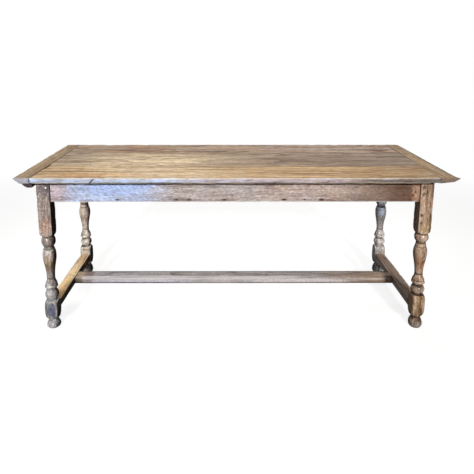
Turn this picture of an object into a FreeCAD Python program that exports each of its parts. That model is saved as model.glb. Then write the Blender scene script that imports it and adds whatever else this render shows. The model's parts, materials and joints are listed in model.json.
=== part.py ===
import FreeCAD, Part
import math
import os

# Farm table with a shallow dough bin under a sliding top.
# Millimetres. +Z is up, +X runs along the table, the front is towards -Y.
# The origin is on the floor, under the middle of the top.

# Top
top_length = 1940.0
top_width = 712.0
table_height = 755.0
top_thickness = 24.0
clamp_width = 72.0
middle_board_width = 290.0
edge_tongue_depth = 10.0
end_tongue_depth = 28.0
tongue_thickness = 8.0
tongue_stop = 30.0
left_bevel_width = 28.0
left_nose_height = 5.0
right_bevel_width = 17.0
right_nose_height = 11.0
end_overhang = 75.0
side_overhang = 54.0

# Batten under the left overhang
batten_width = 44.0
batten_height = 26.0
batten_inset = 24.0
batten_leg_gap = 3.0
batten_chamfer_width = 20.0
batten_chamfer_height = 14.0
batten_nail_count = 4
batten_nail_end = 70.0

# Legs: square blocks with worn corners, and rounded pommels where the turning starts
leg_block = 60.0
upper_corner_wear = 1.0
lower_corner_wear = 3.4
pommel_height = 26.0
lower_pommel_height = 42.0

# Turning of a leg, from the floor up: heights of its members
foot_height = 51.0
foot_neck_height = 8.0
lower_block_height = 109.0
block_neck_height = 6.0
low_ball_height = 39.0
ball_neck_height = 5.0
disc_height = 20.0
disc_quirk_height = 4.0
flare_height = 29.0
vase_height = 135.0
collar_height = 18.0
neck_height = 6.0
high_ball_height = 40.0
quirk_height = 3.0

# The front left leg was turned lower on its blank, with a short collar and taller balls
front_left_foot_height = 38.0
front_left_block_height = 94.0
front_left_low_ball_height = 47.0
front_left_vase_height = 145.0
front_left_collar_height = 5.0
front_left_high_ball_height = 50.0

# The rear right leg has a short collar too, under a taller upper ball
rear_right_collar_height = 4.0
rear_right_high_ball_height = 54.0

# Turning of a leg: radii of its members
foot_contact_radius = 23.0
foot_radius = 32.0
foot_neck_radius = 21.0
block_neck_radius = 23.0
low_ball_radius = 31.5
ball_neck_radius = 22.0
disc_radius = 30.5
disc_quirk_radius = 25.5
flare_radius = 28.0
stem_radius = 18.8
vase_radius = 31.5
vase_shoulder_radius = 25.5
vase_quirk_radius = 24.0
collar_radius = 25.5
neck_radius = 22.0
high_ball_radius = 32.5
quirk_radius = 25.0

# Shape of the turning: shares of a member's height, or of its swell
pommel_fullness = 0.72
pommel_turn = 0.3
foot_belly = 0.4
flare_hollow = 0.45
flare_hollow_share = 0.4
vase_stations = ((0.14, 0.04), (0.33, 0.28), (0.51, 0.6), (0.63, 0.87), (0.75, 1.0), (0.87, 0.88))
vase_shoulder = 0.97
collar_hollow = 0.5
collar_hollow_share = 0.45

# Aprons, which are the walls of the bin
apron_height = 104.0
apron_thickness = 28.0
apron_setback = 8.0
apron_tenon_wall = 7.0
apron_tenon_thickness = 10.0
apron_tenon_shoulder = 12.0
apron_peg_inset = 15.0
apron_peg_top = 34.0
apron_peg_pitch = 33.0
end_peg_drop = 16.0

# Plugs of an older, deeper rail in the front right leg, at a share of the room under the apron
plug_depth = 22.0
plug_pitch = 38.0
plug_place = 0.375

# Stretchers
stretcher_rise = 46.0
end_stretcher_width = 54.0
end_stretcher_height = 38.0
end_tenon_length = 36.0
end_tenon_thickness = 14.0
end_tenon_shoulder = 4.0
end_stretcher_peg_inset = 18.0
long_stretcher_width = 68.0
long_stretcher_height = 36.0
long_tenon_length = 36.0
long_tenon_thickness = 14.0
long_tenon_shoulder = 9.0
long_peg_inset = 13.0
long_peg_pitch = 34.0
worn_edge_width = 18.0
worn_edge_height = 9.0

# Runners that carry the sliding top in grooves of the long aprons
slide_travel = 700.0
runner_width = 26.0
runner_height = 30.0
groove_drop = 20.0
groove_height = 10.0
groove_depth = 10.0
runner_peg_count = 4
runner_peg_end = 60.0
runner_peg_depth = 20.0

# Bin floor
ledger_width = 22.0
ledger_height = 22.0
floor_thickness = 12.0
floor_board_count = 8
ledger_nail_rise = 12.0
ledger_nail_grip = 15.0
front_nail_places = (-533.0, -266.0, -207.0, -49.0, 223.0, 314.0, 391.0)
rear_nail_places = (-560.0, -280.0, 0.0, 280.0, 560.0)

# Pegs and nails
peg_radius = 4.5
peg_proud = 1.0
frame_peg_length = 40.0
nail_radius = 2.0
nail_head_radius = 4.0
nail_head_height = 1.2

# Clearances
joint_fit = 0.2
peg_fit = 0.1
slide_fit = 0.4
board_gap = 0.6
floor_gap = 1.0

# Worked out from the sizes above
half_length = top_length / 2
half_width = top_width / 2
underside = table_height - top_thickness
frame_top = underside - slide_fit
leg_half = leg_block / 2
leg_x = half_length - end_overhang - leg_half
leg_y = half_width - side_overhang - leg_half
leg_corner = leg_half * math.sqrt(2)
leg_inner_x = leg_x - leg_half
leg_inner_y = leg_y - leg_half
apron_bottom = frame_top - apron_height
apron_outer_x = leg_x + leg_half - apron_setback
apron_outer_y = leg_y + leg_half - apron_setback
apron_inner_x = apron_outer_x - apron_thickness
apron_inner_y = apron_outer_y - apron_thickness
clamp_shoulder = half_length - clamp_width
apron_tenon_middle = apron_setback + apron_thickness / 2
apron_tenon_length = leg_block - apron_tenon_middle - apron_tenon_thickness / 2 - apron_tenon_wall
tongue_bottom = underside + (top_thickness - tongue_thickness) / 2
tongue_top = tongue_bottom + tongue_thickness
stretcher_middle = foot_height + foot_neck_height + stretcher_rise
stretcher_top = stretcher_middle + end_stretcher_height / 2
floor_bottom = apron_bottom + ledger_height
side_signs = {"left": -1, "right": 1}
row_signs = {"front": -1, "rear": 1}


def point(x, y, z):
    return FreeCAD.Vector(x, y, z)


def block(x_range, y_range, z_range):
    """A box between the given ends, which may come in either order."""
    low = point(min(x_range), min(y_range), min(z_range))
    high = point(max(x_range), max(y_range), max(z_range))
    size = high - low
    return Part.makeBox(size.x, size.y, size.z, low)


def rod(radius, start, end):
    """A round bar between two points."""
    along = end - start
    return Part.makeCylinder(radius, along.Length, start, along)


def cut_all(shape, tools):
    return shape.cut(tools) if tools else shape


def save(node, solids):
    """Write a node's solids, one or a group, to its file."""
    shape = solids[0] if len(solids) == 1 else Part.makeCompound(solids)
    shape.exportStep("parts/" + node + ".step")
    print(node, len(shape.Solids), shape.isValid(), round(shape.Volume / 1000, 1), "cm3")


def peg(start, end):
    return rod(peg_radius, start, end)


def peg_hole(start, end):
    return rod(peg_radius + peg_fit, start, end)


def nail(head_seat, inward, length):
    """A nail with a flat round head that stands on the surface at head_seat."""
    shank = rod(nail_radius, head_seat, head_seat + inward * length)
    head = rod(nail_head_radius, head_seat - inward * nail_head_height, head_seat)
    return shank.fuse(head).removeSplitter()


def nail_hole(head_seat, inward, length):
    return rod(nail_radius + peg_fit, head_seat, head_seat + inward * (length + peg_fit))


def spread(count, first, last):
    """Evenly spaced places, both ends included."""
    step = (last - first) / (count - 1)
    return [first + step * index for index in range(count)]


# How the members of a leg lie above each other
def leg_heights(side, row):
    """Heights of the members that are not the same on every leg."""
    heights = {
        "foot": foot_height,
        "lower_block": lower_block_height,
        "low_ball": low_ball_height,
        "vase": vase_height,
        "collar": collar_height,
        "high_ball": high_ball_height,
    }
    if (side, row) == ("left", "front"):
        heights["foot"] = front_left_foot_height
        heights["lower_block"] = front_left_block_height
        heights["low_ball"] = front_left_low_ball_height
        heights["vase"] = front_left_vase_height
        heights["collar"] = front_left_collar_height
        heights["high_ball"] = front_left_high_ball_height
    if (side, row) == ("right", "rear"):
        heights["collar"] = rear_right_collar_height
        heights["high_ball"] = rear_right_high_ball_height
    return heights


def leg_levels(heights):
    """Where a leg's lower block starts and ends, and where its upper block starts."""
    bottom = heights["foot"] + foot_neck_height
    top = bottom + heights["lower_block"]
    turned = (
        block_neck_height + heights["low_ball"] + ball_neck_height + disc_height + disc_quirk_height
        + flare_height + heights["vase"] + heights["collar"] + neck_height + heights["high_ball"] + quirk_height
    )
    return bottom, top, top + turned


# Where the frame's pegs go: start on the outside of a leg, end inside it.
def apron_peg_lines(side, row, kind):
    sx = side_signs[side]
    sy = row_signs[row]
    places = []
    for step in range(2):
        z = frame_top - apron_peg_top - step * apron_peg_pitch
        if kind == "long":
            x = sx * (leg_inner_x + apron_peg_inset)
            face = sy * (leg_y + leg_half)
            places.append((point(x, face, z), point(x, face - sy * frame_peg_length, z), point(0, sy, 0)))
        else:
            z -= end_peg_drop
            y = sy * (leg_inner_y + apron_peg_inset)
            face = sx * (leg_x + leg_half)
            places.append((point(face, y, z), point(face - sx * frame_peg_length, y, z), point(sx, 0, 0)))
    return places


def stretcher_peg_line(side, row):
    sx = side_signs[side]
    sy = row_signs[row]
    y = sy * (leg_inner_y + end_stretcher_peg_inset)
    face = sx * (leg_x + leg_half)
    inner = face - sx * frame_peg_length
    return point(face, y, stretcher_middle), point(inner, y, stretcher_middle), point(sx, 0, 0)


def plug_lines():
    face = -(leg_y + leg_half)
    x = leg_inner_x + apron_peg_inset
    room_bottom = leg_levels(leg_heights("right", "front"))[2] + pommel_height
    plug_middle = room_bottom + (apron_bottom - room_bottom) * plug_place
    lines = []
    for step in range(2):
        z = plug_middle + plug_pitch * (0.5 - step)
        lines.append((point(x, face, z), point(x, face + plug_depth, z), point(0, -1, 0)))
    return lines


def proud_peg(line):
    start, end, outward = line
    return peg(start + outward * peg_proud, end)


def leg_hole(line):
    start, end, outward = line
    return peg_hole(start + outward * peg_proud, end - outward * peg_fit)


# Legs
class Outline:
    """Half outline of a turned piece in the XZ plane, drawn from the axis and back to it."""

    def __init__(self):
        self.edges = []
        self.place = point(0, 0, 0)

    def line_to(self, radius, z):
        target = point(radius, 0, z)
        self.edges.append(Part.LineSegment(self.place, target).toShape())
        self.place = target

    def arc_to(self, mid_radius, mid_z, radius, z):
        target = point(radius, 0, z)
        self.edges.append(Part.Arc(self.place, point(mid_radius, 0, mid_z), target).toShape())
        self.place = target

    def curve_to(self, stations):
        targets = [point(radius, 0, z) for radius, z in stations]
        curve = Part.BSplineCurve()
        curve.interpolate([self.place] + targets)
        self.edges.append(curve.toShape())
        self.place = targets[-1]

    def pommel_to(self, radius, z):
        """A rounded shoulder between a neck and the corners of a square block."""
        neck, neck_z = min((self.place.x, self.place.z), (radius, z))
        corner, corner_z = max((self.place.x, self.place.z), (radius, z))
        mid_radius = neck + (corner - neck) * pommel_fullness
        self.arc_to(mid_radius, neck_z + (corner_z - neck_z) * pommel_turn, radius, z)


def leg_outline(heights):
    """Closed half outline of a leg."""
    upper_corner = leg_corner - upper_corner_wear
    lower_corner = leg_corner - lower_corner_wear
    bottom, top, upper_bottom = leg_levels(heights)
    outline = Outline()
    outline.line_to(foot_contact_radius, 0)
    outline.arc_to(foot_radius, heights["foot"] * foot_belly, foot_neck_radius, heights["foot"])
    outline.line_to(foot_neck_radius, bottom)
    outline.pommel_to(lower_corner, bottom + lower_pommel_height)
    outline.line_to(lower_corner, top - pommel_height)
    outline.pommel_to(block_neck_radius, top)
    z = top + block_neck_height
    outline.line_to(block_neck_radius, z)
    outline.arc_to(low_ball_radius, z + heights["low_ball"] / 2, ball_neck_radius, z + heights["low_ball"])
    z += heights["low_ball"] + ball_neck_height
    outline.line_to(ball_neck_radius, z)
    outline.arc_to(disc_radius, z + disc_height / 2, disc_quirk_radius, z + disc_height)
    z += disc_height + disc_quirk_height
    outline.line_to(disc_quirk_radius, z)
    outline.line_to(flare_radius, z)
    hollow_radius = stem_radius + (flare_radius - stem_radius) * flare_hollow_share
    outline.arc_to(hollow_radius, z + flare_height * flare_hollow, stem_radius, z + flare_height)
    z += flare_height
    swell = vase_radius - stem_radius
    rise = heights["vase"]
    stations = [(stem_radius + swell * share, z + rise * place) for place, share in vase_stations]
    outline.curve_to(stations + [(vase_shoulder_radius, z + rise * vase_shoulder)])
    z += rise
    outline.line_to(vase_quirk_radius, z)
    outline.line_to(collar_radius, z)
    hollow_radius = neck_radius + (collar_radius - neck_radius) * collar_hollow_share
    outline.arc_to(hollow_radius, z + heights["collar"] * collar_hollow, neck_radius, z + heights["collar"])
    z += heights["collar"] + neck_height
    outline.line_to(neck_radius, z)
    outline.arc_to(high_ball_radius, z + heights["high_ball"] / 2, quirk_radius, z + heights["high_ball"])
    outline.line_to(quirk_radius, upper_bottom)
    outline.pommel_to(upper_corner, upper_bottom + pommel_height)
    outline.line_to(upper_corner, frame_top)
    outline.line_to(0, frame_top)
    outline.line_to(0, 0)
    return Part.Wire(outline.edges)


def leg_body(heights):
    """A turned leg about the Z axis, with its two square blocks."""
    bottom, top, upper_bottom = leg_levels(heights)
    turned = Part.Face(leg_outline(heights)).revolve(point(0, 0, 0), point(0, 0, 1), 360)
    square = block((-leg_half, leg_half), (-leg_half, leg_half), (0, frame_top))
    foot_room = rod(leg_corner, point(0, 0, 0), point(0, 0, bottom))
    turning_room = rod(leg_corner, point(0, 0, top), point(0, 0, upper_bottom))
    return turned.common(square.fuse([foot_room, turning_room]))


def apron_tenon(side, row, kind, fit):
    """The tenon that an apron puts into a leg, or with a fit its mortise."""
    sx = side_signs[side]
    sy = row_signs[row]
    z_range = (apron_bottom + apron_tenon_shoulder - fit, frame_top - apron_tenon_shoulder + fit)
    half = apron_tenon_thickness / 2 + fit
    if kind == "long":
        middle = sy * (apron_outer_y - apron_thickness / 2)
        x_range = (sx * (leg_inner_x - joint_fit), sx * (leg_inner_x + apron_tenon_length + fit))
        return block(x_range, (middle - half, middle + half), z_range)
    middle = sx * (apron_outer_x - apron_thickness / 2)
    y_range = (sy * (leg_inner_y - joint_fit), sy * (leg_inner_y + apron_tenon_length + fit))
    return block((middle - half, middle + half), y_range, z_range)


def end_stretcher_tenon(side, row, fit):
    """The tenon of an end stretcher in a leg, or with a fit its mortise."""
    middle = side_signs[side] * leg_x
    sy = row_signs[row]
    half = end_tenon_thickness / 2 + fit
    rise = end_stretcher_height / 2 - end_tenon_shoulder + fit
    y_range = (sy * (leg_inner_y - joint_fit), sy * (leg_inner_y + end_tenon_length + fit))
    z_range = (stretcher_middle - rise, stretcher_middle + rise)
    return block((middle - half, middle + half), y_range, z_range)


def make_leg(side, row):
    leg = leg_body(leg_heights(side, row))
    leg.translate(point(side_signs[side] * leg_x, row_signs[row] * leg_y, 0))
    cuts = [apron_tenon(side, row, kind, joint_fit) for kind in ("long", "end")]
    cuts.append(end_stretcher_tenon(side, row, joint_fit))
    lines = apron_peg_lines(side, row, "long") + apron_peg_lines(side, row, "end")
    lines.append(stretcher_peg_line(side, row))
    if (side, row) == ("right", "front"):
        lines += plug_lines()
    cuts += [leg_hole(line) for line in lines]
    save("leg_" + row + "_" + side, [cut_all(leg, cuts)])


# Aprons
def nail_places(row):
    return front_nail_places if row == "front" else rear_nail_places


def ledger_nail_seats(row):
    sy = row_signs[row]
    z = apron_bottom + ledger_nail_rise
    return [point(x, sy * apron_outer_y, z) for x in nail_places(row)]


def make_long_apron(row):
    sy = row_signs[row]
    reach = leg_inner_x - joint_fit
    shape = block((-reach, reach), (sy * apron_inner_y, sy * apron_outer_y), (apron_bottom, frame_top))
    shape = shape.fuse([apron_tenon(side, row, "long", 0) for side in side_signs]).removeSplitter()
    groove_middle = frame_top - groove_drop
    groove_y = (sy * (apron_inner_y - slide_fit), sy * (apron_inner_y + groove_depth))
    groove_z = (groove_middle - groove_height / 2, groove_middle + groove_height / 2)
    cuts = [block((-reach, reach), groove_y, groove_z)]
    for side in side_signs:
        cuts += [leg_hole(line) for line in apron_peg_lines(side, row, "long")]
    cuts += [nail_hole(seat, point(0, -sy, 0), apron_thickness) for seat in ledger_nail_seats(row)]
    save("apron_" + row, [cut_all(shape, cuts)])


def make_end_apron(side):
    sx = side_signs[side]
    reach = leg_inner_y - joint_fit
    shape = block((sx * apron_inner_x, sx * apron_outer_x), (-reach, reach), (apron_bottom, frame_top))
    shape = shape.fuse([apron_tenon(side, row, "end", 0) for row in row_signs]).removeSplitter()
    cuts = []
    for row in row_signs:
        cuts += [leg_hole(line) for line in apron_peg_lines(side, row, "end")]
    save("apron_" + side, [cut_all(shape, cuts)])


def make_apron_pegs():
    for row in row_signs:
        lines = []
        for side in side_signs:
            lines += apron_peg_lines(side, row, "long")
        save("apron_pegs_" + row, [proud_peg(line) for line in lines])
    for side in side_signs:
        lines = []
        for row in row_signs:
            lines += apron_peg_lines(side, row, "end")
        save("apron_pegs_" + side, [proud_peg(line) for line in lines])
    save("leg_plugs", [proud_peg(line) for line in plug_lines()])


# Stretchers
def long_peg_places(side):
    x = side_signs[side] * (leg_x - end_stretcher_width / 2 + long_peg_inset)
    return [(x, y) for y in (-long_peg_pitch / 2, long_peg_pitch / 2)]


def long_tenon(side, fit):
    """The tenon of the long stretcher in an end stretcher, or with a fit its mortise."""
    sx = side_signs[side]
    face = leg_x - end_stretcher_width / 2
    half = long_stretcher_width / 2 - long_tenon_shoulder + fit
    middle = stretcher_top - long_stretcher_height / 2
    rise = long_tenon_thickness / 2 + fit
    x_range = (sx * (face - joint_fit), sx * (face + long_tenon_length + fit))
    return block(x_range, (-half, half), (middle - rise, middle + rise))


def stretcher_bottom():
    return stretcher_top - end_stretcher_height


def make_end_stretcher(side):
    middle = side_signs[side] * leg_x
    half = end_stretcher_width / 2
    reach = leg_inner_y - joint_fit
    shape = block((middle - half, middle + half), (-reach, reach), (stretcher_bottom(), stretcher_top))
    shape = shape.fuse([end_stretcher_tenon(side, row, 0) for row in row_signs]).removeSplitter()
    cuts = [long_tenon(side, joint_fit)]
    cuts += [leg_hole(stretcher_peg_line(side, row)) for row in row_signs]
    for x, y in long_peg_places(side):
        cuts.append(peg_hole(point(x, y, stretcher_bottom()), point(x, y, stretcher_top)))
    save("end_stretcher_" + side, [cut_all(shape, cuts)])
    save("end_stretcher_pegs_" + side, [proud_peg(stretcher_peg_line(side, row)) for row in row_signs])


def make_long_stretcher():
    reach = leg_x - end_stretcher_width / 2 - joint_fit
    half = long_stretcher_width / 2
    bottom = stretcher_top - long_stretcher_height
    section = Part.makePolygon([
        point(-reach, -half, bottom),
        point(-reach, half, bottom),
        point(-reach, half, stretcher_top),
        point(-reach, worn_edge_width - half, stretcher_top),
        point(-reach, -half, stretcher_top - worn_edge_height),
        point(-reach, -half, bottom),
    ])
    shape = Part.Face(section).extrude(point(2 * reach, 0, 0))
    shape = shape.fuse([long_tenon(side, 0) for side in side_signs]).removeSplitter()
    cuts = []
    pegs = []
    for side in side_signs:
        for x, y in long_peg_places(side):
            cuts.append(peg_hole(point(x, y, bottom), point(x, y, stretcher_top)))
            pegs.append(peg(point(x, y, stretcher_bottom()), point(x, y, stretcher_top + peg_proud)))
    save("long_stretcher", [cut_all(shape, cuts)])
    save("long_stretcher_pegs", pegs)


# Bin floor
def make_ledger(row):
    sy = row_signs[row]
    inward = point(0, -sy, 0)
    length = apron_thickness + ledger_nail_grip
    reach = leg_inner_x - floor_gap
    y_range = (sy * apron_inner_y, sy * (apron_inner_y - ledger_width))
    shape = block((-reach, reach), y_range, (apron_bottom, floor_bottom))
    seats = ledger_nail_seats(row)
    save("ledger_" + row, [cut_all(shape, [nail_hole(seat, inward, length) for seat in seats])])
    save("ledger_nails_" + row, [nail(seat, inward, length) for seat in seats])


def make_floor_boards():
    reach_x = apron_inner_x - floor_gap
    reach_y = apron_inner_y - floor_gap
    pitch = 2 * reach_x / floor_board_count
    z_range = (floor_bottom, floor_bottom + floor_thickness)
    corners = []
    for sx in side_signs.values():
        for sy in row_signs.values():
            x_range = (sx * (leg_inner_x - floor_gap), sx * apron_outer_x)
            y_range = (sy * (leg_inner_y - floor_gap), sy * apron_outer_y)
            corners.append(block(x_range, y_range, z_range))
    for index in range(floor_board_count):
        start = -reach_x + index * pitch
        x_range = (start + board_gap / 2, start + pitch - board_gap / 2)
        board = block(x_range, (-reach_y, reach_y), z_range)
        save("floor_board_" + str(index + 1), [board.cut(corners)])


# Top
def clamp_peg_places(side):
    x = side_signs[side] * (clamp_shoulder + end_tongue_depth / 2)
    outer = (half_width + middle_board_width / 2) / 2
    return [(x, y) for y in (-outer, 0, outer)]


def through_top(places, fit):
    """Flush round pieces through the thickness of the top."""
    return [rod(peg_radius + fit, point(x, y, underside), point(x, y, table_height)) for x, y in places]


def runner_ends():
    stop = leg_inner_x - slide_fit
    return slide_travel - stop, stop


def runner_middle_y():
    return apron_inner_y - slide_fit - runner_width / 2


def runner_peg_places(row):
    left, right = runner_ends()
    y = row_signs[row] * runner_middle_y()
    return [(x, y) for x in spread(runner_peg_count, left + runner_peg_end, right - runner_peg_end)]


def runner_peg_rods(row, fit):
    bottom = underside - runner_peg_depth - fit
    return [
        rod(peg_radius + fit, point(x, y, bottom), point(x, y, table_height))
        for x, y in runner_peg_places(row)
    ]


def end_tongues(y_range):
    """Tongues at both ends of a top board, short of the table's long edges."""
    low = max(min(y_range), -half_width + tongue_stop)
    high = min(max(y_range), half_width - tongue_stop)
    tongues = []
    for sx in side_signs.values():
        x_range = (sx * (clamp_shoulder - joint_fit), sx * (clamp_shoulder + end_tongue_depth))
        tongues.append(block(x_range, (low, high), (tongue_bottom, tongue_top)))
    return tongues


def batten_nail_seats():
    x = -(leg_x + leg_half + batten_leg_gap + (batten_width - batten_chamfer_width) / 2)
    reach = half_width - batten_inset - batten_nail_end
    return [point(x, y, underside - batten_height) for y in spread(batten_nail_count, -reach, reach)]


def batten_nail_length():
    return batten_height + top_thickness / 2


def batten_nail_cuts():
    return [nail_hole(seat, point(0, 0, 1), batten_nail_length()) for seat in batten_nail_seats()]


def top_holes():
    """Holes for every peg and nail that goes into the top."""
    holes = through_top(clamp_peg_places("left") + clamp_peg_places("right"), peg_fit)
    for row in row_signs:
        holes += runner_peg_rods(row, peg_fit)
    return holes + batten_nail_cuts()


def make_top_boards():
    reach = clamp_shoulder - joint_fit
    seam = middle_board_width / 2
    z_range = (underside, table_height)
    holes = top_holes()
    middle_y = (-seam + board_gap / 2, seam - board_gap / 2)
    middle = block((-reach, reach), middle_y, z_range)
    tongues = []
    for sy in row_signs.values():
        y_range = (sy * (seam - board_gap / 2), sy * (seam + edge_tongue_depth))
        tongues.append(block((-reach, reach), y_range, (tongue_bottom, tongue_top)))
    middle = middle.fuse(tongues + end_tongues(middle_y)).removeSplitter()
    save("top_board_middle", [cut_all(middle, holes)])
    for row, sy in row_signs.items():
        y_range = (sy * (seam + board_gap / 2), sy * half_width)
        board = block((-reach, reach), y_range, z_range)
        board = board.fuse(end_tongues(y_range)).removeSplitter()
        groove_y = (sy * seam, sy * (seam + edge_tongue_depth + joint_fit))
        groove_z = (tongue_bottom - joint_fit, tongue_top + joint_fit)
        groove = block((-half_length, half_length), groove_y, groove_z)
        save("top_board_" + row, [cut_all(board, [groove] + holes)])


def make_clamp(side, bevel_width, nose_height):
    """A cross board that holds the ends of the three long boards flat."""
    sx = side_signs[side]
    section = Part.makePolygon([
        point(sx * clamp_shoulder, -half_width, underside),
        point(sx * (half_length - bevel_width), -half_width, underside),
        point(sx * half_length, -half_width, table_height - nose_height),
        point(sx * half_length, -half_width, table_height),
        point(sx * clamp_shoulder, -half_width, table_height),
        point(sx * clamp_shoulder, -half_width, underside),
    ])
    shape = Part.Face(section).extrude(point(0, top_width, 0))
    stop = half_width - tongue_stop + joint_fit
    groove_x = (sx * (clamp_shoulder - joint_fit), sx * (clamp_shoulder + end_tongue_depth + joint_fit))
    groove = block(groove_x, (-stop, stop), (tongue_bottom - joint_fit, tongue_top + joint_fit))
    save("end_clamp_" + side, [cut_all(shape, [groove] + top_holes())])
    save("clamp_pegs_" + side, through_top(clamp_peg_places(side), 0))


def make_batten():
    inner = -(leg_x + leg_half + batten_leg_gap)
    outer = inner - batten_width
    reach = half_width - batten_inset
    bottom = underside - batten_height
    section = Part.makePolygon([
        point(inner, -reach, underside),
        point(outer, -reach, underside),
        point(outer, -reach, bottom + batten_chamfer_height),
        point(outer + batten_chamfer_width, -reach, bottom),
        point(inner, -reach, bottom),
        point(inner, -reach, underside),
    ])
    shape = Part.Face(section).extrude(point(0, 2 * reach, 0))
    save("end_batten", [cut_all(shape, batten_nail_cuts())])
    seats = batten_nail_seats()
    save("batten_nails", [nail(seat, point(0, 0, 1), batten_nail_length()) for seat in seats])


def make_runner(row):
    sy = row_signs[row]
    left, right = runner_ends()
    outer = apron_inner_y - slide_fit
    y_range = (sy * outer, sy * (outer - runner_width))
    body = block((left, right), y_range, (underside - runner_height, underside))
    middle = frame_top - groove_drop
    half = groove_height / 2 - slide_fit
    tongue_y = (sy * outer, sy * (apron_inner_y + groove_depth - slide_fit))
    tongue = block((left, right), tongue_y, (middle - half, middle + half))
    shape = body.fuse(tongue).removeSplitter()
    save("runner_" + row, [cut_all(shape, runner_peg_rods(row, peg_fit))])
    save("runner_pegs_" + row, runner_peg_rods(row, 0))


os.makedirs("parts", exist_ok=True)
for side_name in side_signs:
    for row_name in row_signs:
        make_leg(side_name, row_name)
    make_end_apron(side_name)
    make_end_stretcher(side_name)
for row_name in row_signs:
    make_long_apron(row_name)
    make_ledger(row_name)
    make_runner(row_name)
make_apron_pegs()
make_long_stretcher()
make_floor_boards()
make_top_boards()
make_clamp("left", left_bevel_width, left_nose_height)
make_clamp("right", right_bevel_width, right_nose_height)
make_batten()
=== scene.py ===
import json
import math
import random

import bmesh
import bpy
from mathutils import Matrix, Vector, noise
from mathutils.geometry import interpolate_bezier


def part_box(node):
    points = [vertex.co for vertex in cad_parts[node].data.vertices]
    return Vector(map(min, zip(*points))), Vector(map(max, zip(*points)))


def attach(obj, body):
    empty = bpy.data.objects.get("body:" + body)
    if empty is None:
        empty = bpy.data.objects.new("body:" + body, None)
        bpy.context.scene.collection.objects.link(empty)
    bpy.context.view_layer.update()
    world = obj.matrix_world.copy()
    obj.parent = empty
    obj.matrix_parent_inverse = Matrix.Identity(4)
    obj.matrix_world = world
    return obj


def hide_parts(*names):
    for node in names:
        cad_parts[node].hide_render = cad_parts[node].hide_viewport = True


# Old oak farm table with a shallow dough bin under its sliding top. Metres, +Z up, front towards -Y.
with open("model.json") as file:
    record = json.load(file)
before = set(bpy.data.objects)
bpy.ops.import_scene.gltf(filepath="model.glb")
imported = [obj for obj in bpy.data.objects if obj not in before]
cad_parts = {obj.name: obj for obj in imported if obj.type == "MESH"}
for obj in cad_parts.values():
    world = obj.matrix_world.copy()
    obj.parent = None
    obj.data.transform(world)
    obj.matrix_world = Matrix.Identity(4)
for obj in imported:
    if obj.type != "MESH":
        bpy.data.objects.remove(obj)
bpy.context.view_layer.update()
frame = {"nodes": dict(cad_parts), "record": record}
scene = bpy.context.scene
scene.view_settings.view_transform = "Standard"
print("frame loaded:", len(frame["nodes"]), "nodes")

# Camera: pixel values are in the photograph's own frame
cameraView = {
    "pixels": 474,
    "focus": 456.1,            # focal length in pixels
    "middle": (225.6, 127.0),  # where the optical axis meets the picture
    "place": (-0.0463, -2.273, 1.3075),
    "pitch": 9.65,             # degrees below the horizon
    "yaw": -0.09,
    "sensor": 36.0,
}


def setCamera(view):
    lens = bpy.data.cameras.new("tableCamera")
    lens.sensor_width = view["sensor"]
    lens.lens = view["focus"] / view["pixels"] * view["sensor"]
    half = view["pixels"] / 2
    lens.shift_x = (half - view["middle"][0]) / view["pixels"]
    lens.shift_y = (view["middle"][1] - half) / view["pixels"]
    holder = bpy.data.objects.new("tableCamera", lens)
    holder.location = view["place"]
    holder.rotation_euler = (math.radians(90 - view["pitch"]), 0, math.radians(view["yaw"]))
    scene.collection.objects.link(holder)
    scene.camera = holder


setCamera(cameraView)


# Shader maths
def tint(colour):
    # 0-255 screen colour to the linear one that a socket takes
    return [((c / 255 + 0.055) / 1.055) ** 2.4 if c > 10 else c / 255 / 12.92 for c in colour] + [1.0]


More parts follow.
